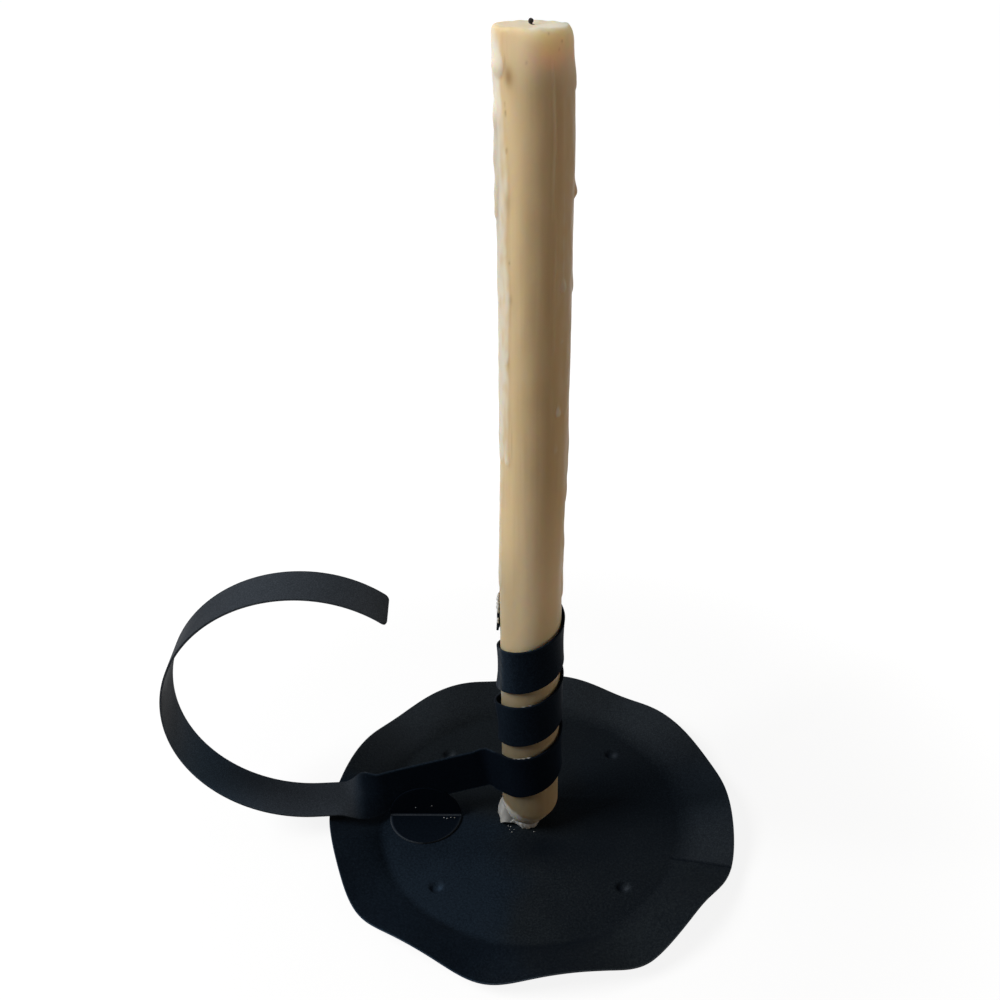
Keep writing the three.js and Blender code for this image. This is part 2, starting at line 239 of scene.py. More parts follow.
def paint_material():
    """Black powder coat with a fine grain. A film of dust lies on it, which also carries painted reflection
    on faces that look up, painted highlights and painted shade. It is paler where hands rub it, and that
    paleness also carries painted sheen and painted highlights.
    """
    black = (0.0022, 0.0037, 0.0066, 1)
    # The blue tints also stand for painted bluish shade
    blue_dust_and_painted_light = (0.0092, 0.0152, 0.0235, 1)
    grey_dust_and_painted_light = (0.0113, 0.0144, 0.0171, 1)
    blue_wear_and_sheen = (0.06, 0.1, 0.155, 1)
    grey_wear_and_sheen = (0.086, 0.1, 0.119, 1)
    graph = material_graph("black_powder_coat")
    grain = graph.noise(2300, 2.0)
    mottle = graph.noise(70, 3.0)
    patches = graph.ramp(mottle, 0.3, 0.75, 0.86, 1.1)
    flecks = graph.ramp(graph.noise(1200, 2.0), 0.35, 0.7, 0.68, 1.45)
    # The film: dust, with painted reflection, painted highlights and painted shade
    film = graph.math("MULTIPLY", graph.attribute("film"), graph.math("MULTIPLY", patches, flecks))
    grey = graph.attribute("grey")
    coat = graph.mix(film, black, graph.mix(grey, blue_dust_and_painted_light, grey_dust_and_painted_light))
    # Paler from rubbing, with painted sheen and painted highlights
    coat = graph.mix(graph.attribute("wear_and_sheen"), coat, graph.mix(grey, blue_wear_and_sheen, grey_wear_and_sheen))
    speckle = graph.ramp(grain, 0.35, 0.75, 0.8, 1.45)
    colour = graph.mix(1.0, coat, speckle, "MULTIPLY")
    roughness = graph.ramp(mottle, 0.3, 0.7, 0.46, 0.58)
    normal = graph.bump(grain, 0.35, 0.05)
    return graph.paint(Base_Color=colour, Roughness=roughness, Normal=normal, IOR=1.055)


def wax_material():
    """Ivory wax with faint upright streaks, under a tint for each attribute of the candle's points. Some
    tints paint glow and shade.
    """
    tints = {
        # Painted glow
        "glow": (0.95, 0.80, 0.54, 1),
        # Painted glow on clearer wax
        "clear_and_glowing": (0.985, 0.755, 0.545, 1),
        "coat": (0.75, 0.68, 0.54, 1),
        # Brown marks, two of them painted shade
        "stains_and_shade": (0.36, 0.22, 0.09, 1),
        # Painted shade
        "painted_shade": (0.128, 0.108, 0.072, 1),
        "crusted": (0.5, 0.49, 0.46, 1),
    }
    graph = material_graph("ivory_candle_wax")
    streaks = graph.noise(420, 2.0, (1, 1, 0.03))
    clouds = graph.noise(60, 3.0)
    fine = graph.noise(1500, 2.0)
    colour = graph.mix(graph.ramp(streaks, 0.35, 0.65), (0.665, 0.505, 0.285, 1), (0.715, 0.555, 0.325, 1))
    colour = graph.mix(graph.ramp(clouds, 0.35, 0.7), colour, (0.705, 0.545, 0.315, 1))
    for label, tint in tints.items():
        colour = graph.mix(graph.attribute(label), colour, tint)
    roughness = graph.ramp(clouds, 0.3, 0.7, 0.42, 0.54)
    height = graph.math("ADD", graph.math("MULTIPLY", streaks, 0.6), graph.math("MULTIPLY", fine, 0.4))
    normal = graph.bump(height, 0.2, 0.08)
    return graph.paint(
        Base_Color=colour,
        Roughness=roughness,
        Normal=normal,
        Specular_IOR_Level=0.2,
        Subsurface_Weight=0.9,
        Subsurface_Radius=(1.0, 0.55, 0.25),
        Subsurface_Scale=graph.ramp(graph.attribute("clear_and_glowing"), 0, 1, 0.006, 0.024),
    )


def white_wax_material():
    """Set white wax, cloudy and uneven, which turns grey with painted shade at its points."""
    graph = material_graph("white_set_wax")
    clouds = graph.noise(300, 3.0)
    fine = graph.noise(1800, 2.0)
    fresh = graph.mix(graph.ramp(clouds, 0.35, 0.7), (0.79, 0.77, 0.72, 1), (0.87, 0.86, 0.83, 1))
    colour = graph.mix(graph.attribute("painted_shade"), fresh, (0.15, 0.155, 0.15, 1))
    normal = graph.bump(fine, 0.4, 0.1)
    return graph.paint(
        Base_Color=colour,
        Roughness=graph.ramp(clouds, 0.3, 0.7, 0.4, 0.6),
        Normal=normal,
        Specular_IOR_Level=0.3,
        Subsurface_Weight=0.4,
        Subsurface_Radius=(1.0, 0.8, 0.6),
        Subsurface_Scale=0.0015,
    )


def charred_material():
    """Charred cotton and soot: black, dry and crumbly."""
    graph = material_graph("charred_cotton")
    ash = graph.noise(2600, 3.0)
    colour = graph.mix(graph.ramp(ash, 0.4, 0.75), (0.004, 0.0032, 0.0028, 1), (0.035, 0.028, 0.022, 1))
    normal = graph.bump(ash, 0.8, 0.12)
    return graph.paint(Base_Color=colour, Roughness=graph.ramp(ash, 0.3, 0.7, 0.85, 1.0), Normal=normal)


def skin(rings, loop=False):
    """Points and faces over rings of points. Each end gets a fan, unless the rings loop round."""
    rings = np.asarray(rings)
    count, around = rings.shape[:2]
    index = np.arange(count * around).reshape(count, around)
    lower = index if loop else index[:-1]
    upper = np.roll(index, -1, axis=0) if loop else index[1:]
    corners = [lower, np.roll(lower, -1, axis=1), np.roll(upper, -1, axis=1), upper]
    faces = np.stack(corners, axis=-1).reshape(-1, 4).tolist()
    points = rings.reshape(-1, 3)
    if loop:
        return points, faces
    for pole, edge in ((len(points), index[0]), (len(points) + 1, index[-1])):
        fan = [edge, np.roll(edge, -1), np.full(around, pole)]
        faces += np.stack(fan, axis=-1).tolist()
    return np.vstack([points, rings[0].mean(axis=0), rings[-1].mean(axis=0)]), faces


def with_ends(values, first, last):
    """A value for each point of a skin: those on its rings, then one for the middle of each end."""
    return np.append(values.ravel(), [first, last])


def add_piece(name, points, faces, body, material, node=None, attributes=None):
    """A smooth piece from points in millimetres, which rides on a body and may stand for a CAD node."""
    mesh = bpy.data.meshes.new(name)
    mesh.from_pydata((np.asarray(points) * MM).tolist(), [], faces)
    for label, values in (attributes or {}).items():
        mesh.attributes.new(label, "FLOAT", "POINT").data.foreach_set("value", values)
    turn_outwards(mesh)
    mesh.polygons.foreach_set("use_smooth", [True] * len(mesh.polygons))
    mesh.set_sharp_from_angle(angle=SHARP_ANGLE)
    mesh.materials.append(material)
    piece = bpy.data.objects.new(name, mesh)
    bpy.context.scene.collection.objects.link(piece)
    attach(piece, body)
    if node:
        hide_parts(node)


def turn_outwards(mesh):
    work = bmesh.new()
    work.from_mesh(mesh)
    bmesh.ops.recalc_face_normals(work, faces=work.faces)
    work.to_mesh(mesh)
    work.free()


def ripple(points, size, seed):
    """Smooth noise between about -1 and 1 at each point, with features of a size in millimetres."""
    shift = Vector((seed * 17.3, seed * 5.1, seed * 9.7))
    flat = np.asarray(points).reshape(-1, 3) / size
    values = [noise.noise(Vector(point) + shift) for point in flat]
    return np.array(values).reshape(np.asarray(points).shape[:-1])


def bell(angle, middle, spread):
    off = np.arctan2(np.sin(angle - middle), np.cos(angle - middle))
    return np.exp(-((off / spread) ** 2))


def smooth(value, low, high):
    share = np.clip((value - low) / (high - low), 0, 1)
    return share * share * (3 - 2 * share)


def rim_wave(angle):
    """Height of the rim's wave: about 1 on a crest and -1 in a dip."""
    turn = WAVE_COUNT * (angle - DIP_ANGLE)
    return -np.cos(turn) - WAVE_SHARPNESS * np.cos(2 * turn)


def rim_bulge(angle):
    """How far the rim is pulled outwards on the right and towards the front."""
    degrees = np.degrees(np.arctan2(np.sin(angle), np.cos(angle)))
    dip = 1 - 0.5 * bell(angle, -37 * DEGREE, 8 * DEGREE)
    return RIM_BULGE * dip * smooth(degrees, -71, -58) * smooth(-degrees, -38, 14)


def rim_rise(radius):
    """Rise of the rim, from 0 in the floor to 1 at the edge, through a narrow crease."""
    past = radius - FLOOR_RADIUS
    half = CREASE_WIDTH / 2
    bent = np.where(past < half, np.maximum(past + half, 0) ** 2 / (4 * half), past)
    return (bent / (RIM_RADIUS - FLOOR_RADIUS)) ** RIM_FLARE


def feet(x, y, shape):
    """Sum over the four feet of a shape, which takes a point's place as seen from the foot's middle."""
    half = FOOT_SPACING / 2
    return sum(shape(x - foot_x, y - foot_y) for foot_x in (-half, half) for foot_y in (-half, half))


def foot_dip(x, y):
    return FOOT_DEPTH * smooth(-np.hypot(x, y), -FOOT_RADIUS, -FOOT_PAD_RADIUS)


def foot_highlight(x, y):
    """Painted highlight on the wall of a foot towards the right, which faces the light."""
    return np.exp(-((x - 1.3) ** 2 + (y - 0.3) ** 2) / 1.1)


def foot_shade(x, y):
    """Painted shade in a foot on the left, on the wall turned from the light."""
    return np.exp(-((x + 1.5) ** 2 + (y - 0.2) ** 2) / 1.6)


def rim_fold(angle, radius):
    """A sharp fold that runs out along one dip of the rim."""
    away = np.arctan2(np.sin(angle - FOLD_ANGLE), np.cos(angle - FOLD_ANGLE)) * radius
    past_floor = smooth(radius, FLOOR_RADIUS - 5, FLOOR_RADIUS + 3)
    return FOLD_DEPTH * np.exp(-((away / FOLD_HALF_WIDTH) ** 2)) * past_floor


def rim_share(out):
    """0 on the floor and 1 on the rim, past the crease."""
    return smooth(out, FLOOR_RADIUS - 2, FLOOR_RADIUS + 8)


def pan_grey(points):
    """Where the film looks grey. It is bluish at the front left, and half bluish in the candle's shadow, as a
    painted bluish shade.
    """
    x = points[:, 0] + 9 * ripple(points, 11, 6)
    y = points[:, 1]
    right = smooth(x, -18, 3)
    back = smooth(0.3 * x + y, -12, 0)
    # Painted bluish shade in the candle's shadow
    shadow = 0.5 * smooth(x, 8, 25) * np.exp(-(((y - 12) / 20) ** 2))
    return np.maximum(right, back) - shadow


def candle_painted_shadow(x, y):
    """Painted shadow of the candle on the floor in front of it, darkest close to its foot, taken from the
    film.
    """
    band = np.exp(-(((y + 17) / 9) ** 2)) * smooth(x, -62, -45) * smooth(-x, -48, -15)
    close = np.exp(-((x - 4) ** 2 + (y + 16) ** 2) / 50)
    return 0.28 * band + 0.25 * close


def pan_dust_and_shade(angle, out, x, y):
    """Dust on the pan, which also stands for painted reflection, lessened for painted shade: on its front
    rim, at the right, by the handle, in the feet and the fold, in front of the candle, and in a band over the
    right rim.
    """
    # Painted shade on the front rim, which turns away from the light
    front_rim_shade = smooth(out, FLOOR_RADIUS - 1.5, FLOOR_RADIUS + 2.5) * smooth(-y, 12, 60)
    front_rim_shade = front_rim_shade * (1 - smooth(x, 12, 42))
    # The floor's painted shade grows towards the right
    film = 1 - 0.55 * front_rim_shade - 0.42 * (1 - rim_share(out)) * smooth(x, -25, 35)
    # Painted shadow of the handle by the crease
    handle_shadow = bell(angle, 193 * DEGREE, 20 * DEGREE)
    film = film - 0.5 * handle_shadow * smooth(out, FLOOR_RADIUS - 5, FLOOR_RADIUS)
    # Painted shade in the feet and the fold, and the candle's painted shadow
    film = film - 0.6 * feet(x, y, foot_shade) - 0.7 * rim_fold(angle, out) - candle_painted_shadow(x, y)
    degrees = np.arctan2(y, x) / DEGREE
    # Painted shade over the right rim, where the candle's shadow crosses it and below the fold
    right_rim_shade = 0.3 * rim_share(out) * smooth(x, 20, 60)
    return film - right_rim_shade * smooth(-degrees, -10, 22) * smooth(degrees, -62, -42)


def pan_painted_light(angle, out, x, y):
    """Painted light on the pan: on the back of its rim, beside its fold and on the walls of its feet that
    face the light.
    """
    degrees = np.arctan2(y, x) / DEGREE
    lit_by_fold = smooth(x, 40, 72) * smooth(degrees, -21.0, -19.8) * smooth(-degrees, -6, 4)
    lit_back_rim = smooth(0.05 * x + y, 5, 36)
    lit_back_rim = lit_back_rim * (1 - 0.45 * bell(angle, 104 * DEGREE, 18 * DEGREE))
    lit_back_rim = lit_back_rim + 0.35 * bell(angle, 29 * DEGREE, 11 * DEGREE)
    return 0.085 * rim_share(out) * np.maximum(lit_back_rim, lit_by_fold) + 0.28 * feet(x, y, foot_highlight)


def pan_section():
    """The pan's section out along its top, round its edge and back: radius, level, and where the edge is."""
    floor = np.linspace(1.5, FEET_FROM, 22)
    footed = np.linspace(FEET_FROM, FLOOR_RADIUS - 4, 34)[1:]
    crease = np.linspace(FLOOR_RADIUS - 4, FLOOR_RADIUS + 4, 22)[1:]
    rim = np.linspace(FLOOR_RADIUS + 4, RIM_RADIUS - PAN_SHEET / 2, 22)[1:]
    reach = np.concatenate([floor, footed, crease, rim])
    turn = np.radians([60, 30, 0, -30, -60])
    radius = np.concatenate([reach, reach[-1] + PAN_SHEET / 2 * np.cos(turn), reach[::-1]])
    edge = PAN_SHEET / 2 * (1 + np.sin(turn))
    level = np.concatenate([np.full(len(reach), PAN_SHEET), edge, np.zeros(len(reach))])
    on_edge = np.repeat([False, True, False], [len(reach), len(turn), len(reach)])
    return radius, level, on_edge


def pan_angles():
    """Angles of the pan's columns, which are closer together by its fold."""
    even = np.linspace(0, 2 * math.pi, PAN_COLUMNS, endpoint=False)
    close = FOLD_ANGLE + np.linspace(-3, 3, 41) * DEGREE
    return np.unique(np.concatenate([even, close % (2 * math.pi)]))


def make_pan(paint):
    radius, level, on_edge = pan_section()
    angle = pan_angles()
    wave = rim_wave(angle)[None, :]
    rise = rim_rise(radius)[:, None]
    out = radius[:, None] + (rim_bulge(angle) - WAVE_REACH * wave) * rise
    x = out * np.cos(angle)
    y = out * np.sin(angle)
    plan = np.stack([x, y, np.zeros_like(x)], axis=-1)
    dent = DENT_DEPTH * (ripple(plan, 22, 1) - 1) / 2 * smooth(out, FLOOR_RADIUS - 12, FLOOR_RADIUS + 8)
    low = dent - feet(x, y, foot_dip) - rim_fold(angle, out)
    z = level[:, None] + (RIM_HEIGHT + WAVE_LIFT * wave) * rise + low
    points, faces = skin(np.stack([x, y, z], axis=-1))
    # Painted light on the pan, and a paler edge
    wear_and_highlight = pan_painted_light(angle, out, x, y)
    wear_and_highlight[on_edge] = PAN_EDGE_WEAR
    values = {
        "film": with_ends(pan_dust_and_shade(angle, out, x, y), 1, 1),
        "grey": pan_grey(points),
        "wear_and_sheen": with_ends(wear_and_highlight, 0, 0),
    }
    add_piece("pan_shell", points, faces, "holder", paint, "drip_pan", values)


class StripPen:
    """Walks along the middle of the strip and carries its directions: ahead, across and out of its face."""

    def __init__(self, position, ahead, across):
        self.position = position.copy()
        self.ahead = ahead.copy()
        self.across = across.copy()
        self.stations = []
        self.mark()

    def face(self):
        return self.ahead.cross(self.across)

    def mark(self):
        self.stations.append([self.position.copy(), self.ahead.copy(), self.across.copy(), STRIP_WIDTH])

    def turn(self, axis, angle):
        turning = Quaternion(axis, angle)
        self.ahead.rotate(turning)
        self.across.rotate(turning)

    def walk(self, length, steps, angle, axis):
        for _ in range(steps):
            self.turn(axis, angle / steps / 2)
            self.position += self.ahead * (length / steps)
            self.turn(axis, angle / steps / 2)
            self.mark()

    def straight(self, length, steps):
        self.walk(length, steps, 0, UP)

    def bend(self, radius, angle, steps, axis):
        along = math.sqrt(1 - self.ahead.dot(axis) ** 2)
        chord = 2 * radius * math.sin(abs(angle) / steps / 2)
        self.walk(steps * chord / along, steps, angle, axis)

    def twist(self, length, angle, slope, steps):
        """Twists slowly at both ends of a length, and levels a sloping strip towards the far end."""
        along = np.linspace(0, 1, steps + 1)
        for turning, levelling in zip(np.diff(smooth(along, 0, 1)), np.diff(along**1.75)):
            side = self.ahead.cross(UP).normalized()
            self.turn(side, slope * levelling)
            self.walk(length / steps, 1, angle * turning, self.ahead.copy())

    def bend_to_end(self, radius, angle, step, axis):
        end_angle = STRIP_CORNER / radius
        self.bend(radius, angle - end_angle, math.ceil((angle - end_angle) / step), axis)
        self.bend(radius, end_angle, CORNER_STEPS, axis)


def narrow(station):
    """Narrows the strip over the first turn of the spiral, at its lower edge."""
    share = float(smooth(station[0].z, 0, SPIRAL_PITCH))
    station[3] = STRIP_WIDTH + (SPIRAL_WIDTH - STRIP_WIDTH) * share
    station[0] += station[2] * ((STRIP_WIDTH - station[3]) / 2)


def slant_end(stations):
    """Cuts the strip's upper corner off at its end in the spiral."""
    end = stations[-1][0].copy()
    for station in stations:
        near = SLANT_LENGTH - (station[0] - end).length
        cut = SLANT_DEPTH * float(smooth(near, 0, SLANT_LENGTH))
        station[3] -= cut
        station[0] -= station[2] * (cut / 2)


def walk_strip():
    """The strip's stations from the hoop's end to the spiral's, how much paleness from rubbing and painted
    sheen each one has, and the arm's end.
    """
    foot = Vector((math.cos(SPIRAL_START), math.sin(SPIRAL_START), 0)) * SPIRAL_RADIUS
    along = Vector((-math.sin(SPIRAL_START), math.cos(SPIRAL_START), 0))
    ahead = along * math.cos(SPIRAL_CLIMB) + UP * math.sin(SPIRAL_CLIMB)
    across = UP * math.cos(SPIRAL_CLIMB) - along * math.sin(SPIRAL_CLIMB)

    rising = StripPen(foot, ahead, across)
    rising.bend_to_end(SPIRAL_RADIUS, SPIRAL_SWEEP, SPIRAL_STEP, UP)
    for station in rising.stations:
        narrow(station)
    slant_end(rising.stations)

    falling = StripPen(foot, -ahead, across)
    falling.walk(LEAD_LENGTH, 12, SPIRAL_CLIMB - ARM_CLIMB, falling.face())
    falling.bend(ELBOW_RADIUS, 270 * DEGREE - SPIRAL_START, 16, UP)
    arm_run = FLAT_RADIUS + TWIST_SETBACK + falling.position.x
    falling.straight(arm_run / math.cos(ARM_CLIMB), 20)
    arm_end = falling.position.copy()
    falling.bend(YAW_BEND_RADIUS, HANDLE_YAW, 4, UP)
    twist_start = len(falling.stations)
    falling.twist(TWIST_LENGTH, TWIST_ANGLE, ARM_CLIMB, 28)
    twist_end = len(falling.stations)
    falling.straight(FLAT_LENGTH, 8)
    flat_level = falling.position.z
    falling.bend_to_end(HOOP_RADIUS, HOOP_SWEEP, HOOP_STEP, falling.across.copy())
    # Paleness from rubbing with painted sheen, from the twist on to the hoop
    wear_and_sheen = smooth(np.arange(len(falling.stations)), twist_start + 12, twist_end - 6)

    stations = falling.stations[:0:-1]
    for station in stations:
        station[1].negate()
    stations += rising.stations
    dip_height = RIM_HEIGHT + WAVE_LIFT * float(rim_wave(DIP_ANGLE))
    lift = FLOOR_TOP + dip_height + RIM_CLEARANCE + STRIP_THICKNESS / 2 - flat_level
    for station in stations:
        station[0].z += lift
    arm_end.z += lift
    return stations, np.append(wear_and_sheen[:0:-1], np.zeros(len(rising.stations))), arm_end


def sheet_section(half_width, thickness):
    """A flat section with rounded edges, as (across, out) pairs in order round it."""
    half = max(half_width, 2 * STRIP_EDGE) - STRIP_EDGE
    thick = thickness / 2 - STRIP_EDGE
    section = []
    for quarter, (wide, out) in enumerate([(1, 1), (-1, 1), (-1, -1), (1, -1)]):
        for turn in np.radians(90 * quarter + np.array([0, 30, 60, 90])):
            across = wide * half + STRIP_EDGE * math.cos(turn)
            section.append((across, out * thick + STRIP_EDGE * math.sin(turn)))
        if out * wide > 0:
            for share in (0.94, 0.3, -0.3, -0.94):
                section.append((wide * half * share, out * thickness / 2))
    return section


# Points in turn round a section: a corner, a face, two corners, the other face and the last corner
SECTION_PARTS = [4, 4, 8, 4, 4]
SECTION_EDGE = np.repeat([1, 0, 1, 0, 1], SECTION_PARTS)
# The first half of them is on the inside of the hoop
SECTION_INNER = np.repeat([1, 0], sum(SECTION_PARTS) // 2)


def sweep(stations, thickness):
    """Rings of a sheet's section along stations of (position, ahead, across, width)."""
    rings = []
    for position, ahead, across, width in stations:
        face = ahead.cross(across)
        section = sheet_section(width / 2, thickness)
        rings.append([position + across * wide + face * out for wide, out in section])
    return rings


def round_ends(stations):
    """Takes the strip's corners off at its two ends."""
    places = [station[0] for station in stations]
    steps = [(b - a).length for a, b in zip(places, places[1:])]
    distance = np.concatenate([[0], np.cumsum(steps)])
    for station, along in zip(stations, distance):
        inset = max(STRIP_CORNER - min(along, distance[-1] - along), 0)
        station[3] -= 2 * (STRIP_CORNER - math.sqrt(STRIP_CORNER**2 - inset**2))


def loosen(points, angle, wound):
    """Stands the middle turn of the spiral off the candle at the left."""
    level = points[:-2, 2].reshape(angle.shape)
    near = np.exp(-(((level - LOOSE_LEVEL) / LOOSE_SPAN) ** 2))
    loose = LOOSE_GAP * bell(angle, LOOSE_ANGLE, LOOSE_SPREAD) * near * wound
    points[:-2, 0] += np.ravel(loose * np.cos(angle))
    points[:-2, 1] += np.ravel(loose * np.sin(angle))


def hoop_degrees(stations):
    """How far the strip's face has turned round the hoop at each station."""
    inward = np.array([station[1].cross(station[2])[:] for station in stations])
    degrees = np.degrees(np.arctan2(inward[:, :1], inward[:, 2:])) % 360
    return np.where(degrees > 300, 0, degrees)


def hoop_wear_and_sheen(degrees):
    """Paleness from rubbing, with painted sheen, on the hoop's inner and outer faces, which are least next to
    the level stretch.
    """
    inner = 0.3 + 0.7 * smooth(degrees, 0, 78)
    outer = 0.115 + 0.22 * smooth(degrees, 128, 170) + 0.2 * smooth(degrees, 195, 222)
    return inner * SECTION_INNER + outer * (1 - SECTION_INNER)


def make_strip(stations, wear_and_sheen, paint):
    round_ends(stations)
    points, faces = skin(sweep(stations, STRIP_THICKNESS))
    place = np.array([station[0][:] for station in stations])
    x = place[:, :1]
    z = place[:, 2:]
    wear_and_sheen = wear_and_sheen[:, None]
    wound = x > WOUND_FROM
    angle = np.arctan2(points[:-2, 1], points[:-2, 0]).reshape(len(stations), -1)
    loosen(points, angle, wound)
    # Higher on the spiral, out of the hoop's shadow
    high = smooth(z, 25, 85) * wound
    on_arm = (x < -SPIRAL_RADIUS) * (wear_and_sheen < 0.05)
    # Dust, more on the hoop, and painted light that grows up the spiral, whose lower turns lie in the hoop's
    # shadow
    film = 0.08 + 0.25 * high + 0.2 * smooth(-x, 48, 60)
    # Painted highlight on the spiral's left side, towards the light
    film = film + bell(angle, 212 * DEGREE, 22 * DEGREE) * high**2
    # Painted highlight along the arm's edges
    film = film + on_arm * 0.8 * SECTION_EDGE
    degrees = hoop_degrees(stations)
    # Painted highlight down the left edge of the upper turns
    lit_side = 0.42 * bell(angle, 205 * DEGREE, 6 * DEGREE) * (smooth(z, 55, 85) * wound)
    wear_and_highlight = wear_and_sheen * hoop_wear_and_sheen(degrees) + lit_side
    # Painted bluish shade on the hoop's inner face, low at the left
    blue = bell(degrees * DEGREE, 52 * DEGREE, 26 * DEGREE) * SECTION_INNER
    grey = np.maximum(wear_and_sheen * (1 - blue), lit_side > 0.05)
    values = {
        "film": with_ends(film, 0, 0),
        "grey": with_ends(grey, 1, 0),
        "wear_and_sheen": with_ends(wear_and_highlight, wear_and_highlight[0, 0], 0),
    }
    add_piece("bent_strip", points, faces, "holder", paint, "spiral_strip", values)


def make_bracket(arm_end, paint):
    """A disc folded on its diameter, from the far edge of its floor half to the top of its upright half."""
    bend = BRACKET_BEND_RADIUS + BRACKET_SHEET / 2
    outer = BRACKET_BEND_RADIUS + BRACKET_SHEET
    side = Vector((1, 0, 0))
    profile = []
    for turn in np.radians(np.linspace(0.5, 86, BRACKET_STEPS)):
        reach = outer / 2 + BRACKET_RADIUS * math.cos(turn)
        profile.append((-reach, BRACKET_SHEET / 2, 0.0, 2 * BRACKET_RADIUS * math.sin(turn)))
    for turn in np.radians(np.linspace(0, 90, BRACKET_BEND_STEPS)):
        across_fold = -outer + bend * math.sin(turn)
        profile.append((across_fold, outer - bend * math.cos(turn), turn, 2 * BRACKET_RADIUS * 0.9985))
    for turn in np.radians(np.linspace(86, 0.5, BRACKET_STEPS)):
        reach = outer / 2 + BRACKET_RADIUS * math.cos(turn)
        profile.append((-BRACKET_SHEET / 2, reach, math.pi / 2, 2 * BRACKET_RADIUS * math.sin(turn)))
    middle = -FLAT_RADIUS + BRACKET_SETBACK + BRACKET_RADIUS
    back = arm_end.y - STRIP_THICKNESS / 2 - SEAT_GAP
    stations = []
    for y, z, turn, width in profile:
        ahead = Vector((0, math.cos(turn), math.sin(turn)))
        stations.append((Vector((middle, back + y, STAND_HEIGHT + z)), ahead, side, width))
    points, faces = skin(sweep(stations, BRACKET_SHEET))
    on_floor = np.arange(len(stations))[:, None] < BRACKET_STEPS
    # Painted shade: little film on the floor half, which lies in the strip's shadow
    film = BRACKET_SHADE_FILM * on_floor + 0 * SECTION_EDGE
    # Painted highlight on the edges of the floor half
    lit_edge = np.repeat([0.35, 0, 1, 0, 0.35], SECTION_PARTS)
    wear_and_highlight = BRACKET_EDGE_HIGHLIGHT * on_floor * lit_edge
    # Painted reflection inside the bend
    wear_and_highlight[BRACKET_STEPS + 2 : BRACKET_STEPS + 7] = 0.28
    values = {
        "film": with_ends(film, BRACKET_SHADE_FILM, 0),
        "grey": with_ends(np.sign(wear_and_highlight), 1, 0),
        "wear_and_sheen": with_ends(wear_and_highlight, BRACKET_EDGE_HIGHLIGHT, 0),
    }
    add_piece("folded_bracket", points, faces, "holder", paint, "strip_bracket", values)


def butt_radius(height):
    share = np.minimum(height / BUTT_HEIGHT, 1)
    taper = BUTT_RADIUS + (CANDLE_RADIUS - BUTT_RADIUS) * share
    return taper + 4 * BUTT_BULGE * share * (1 - share)


def foot_chip(angle, height):
    """Depth of the wax that broke away from the butt at the right."""
    return CHIP_DEPTH * bell(angle, CHIP_ANGLE, 50 * DEGREE) * smooth(-height, -11, -2.5)


# Runs of wax: angle in degrees, top and end above the foot, half width and thickness,
# half width and thickness of the drop at the end, and whiteness
WAX_RUNS = [
    (188, 295, 163, 6.3, 0.36, 5.0, 0.45, 1.0),
    (205, 290, 279.5, 3.2, 0.5, 3.6, 0.85, 1.0),
    (180, 289, 274, 3.0, 0.5, 2.8, 0.65, 1.0),
    (212, 268, 231, 2.4, 0.22, 2.2, 0.3, 0.85),
    (216, 236, 198, 1.8, 0.25, 1.7, 0.4, 0.9),
    (218, 202, 163.5, 1.5, 0.2, 1.4, 0.35, 0.85),
    (183, 276, 241, 4.2, 0.95, 3.4, 1.1, 1.0),
    (184, 184, 170, 2.8, 0.22, 2.4, 0.4, 1.0),
    (190, 166, 113, 3.4, 0.22, 3.0, 0.35, 0.75),
    (331, 296, 181, 5.6, 0.22, 3.0, 0.3, 0.34),
    (298, 289, 243, 0.5, 0.17, 0.6, 0.17, 0.24),
    (302, 252, 203, 0.5, 0.15, 0.6, 0.15, 0.2),
    (312, 284, 245, 0.5, 0.19, 0.6, 0.2, 0.26),
    (317, 256, 221.5, 0.5, 0.2, 1.3, 0.95, 0.8),
    (318, 210, 205.5, 0.4, 0.15, 0.8, 0.6, 0.7),
    (0, 287, 276, 2.6, 0.35, 2.4, 0.5, 0.35),
    (2, 257, 247, 2.0, 0.3, 1.7, 0.85, 0.35),
    (1, 229, 219, 2.0, 0.25, 2.0, 0.4, 0.35),
    (3, 176, 147, 3.0, 0.35, 3.0, 0.4, 0.2),
    (3, 138, 108, 3.0, 0.3, 3.0, 0.4, 0.2),
    (312, 190, 181.5, 0.5, 0.2, 1.2, 0.6, 0.8),
    (307, 176, 169, 0.8, 0.14, 1.0, 0.25, 0.45),
    (62, 290, 254, 1.6, 0.5, 1.9, 0.7, 0.7),
    (118, 289, 206, 1.7, 0.5, 2.0, 0.7, 0.8),
    (150, 291, 262, 2.2, 0.6, 2.4, 0.8, 0.9),
]
# Brown marks, the second and fifth of them painted shade beside lumps of the coat: angle in degrees, height
# above the foot, half width, half height and strength
WAX_STAINS_AND_SHADE = [
    (231.5, 280.6, 1.5, 2.6, 0.85),
    (226.0, 284.3, 0.35, 1.6, 0.4),
    (228.5, 219.3, 0.7, 1.5, 0.35),
    (223.0, 199.0, 0.5, 1.6, 0.3),
    (224.5, 247.5, 1.1, 2.6, 0.25),
    (229.0, 172.0, 0.3, 6.0, 0.3),
    (184.0, 280.5, 0.5, 0.9, 0.7),
    (221.5, 273.5, 0.35, 0.5, 0.6),
    (222.0, 271.3, 0.4, 0.7, 0.8),
    (222.5, 261.5, 0.4, 0.6, 0.7),
    (226.4, 230.3, 0.35, 0.6, 0.6),
    (293.0, 291.3, 0.3, 0.4, 0.4),
    (313.0, 289.2, 0.3, 0.4, 0.5),
    (307.5, 287.4, 0.3, 0.4, 0.3),
    (260.0, 284.3, 0.3, 0.4, 0.3),
]


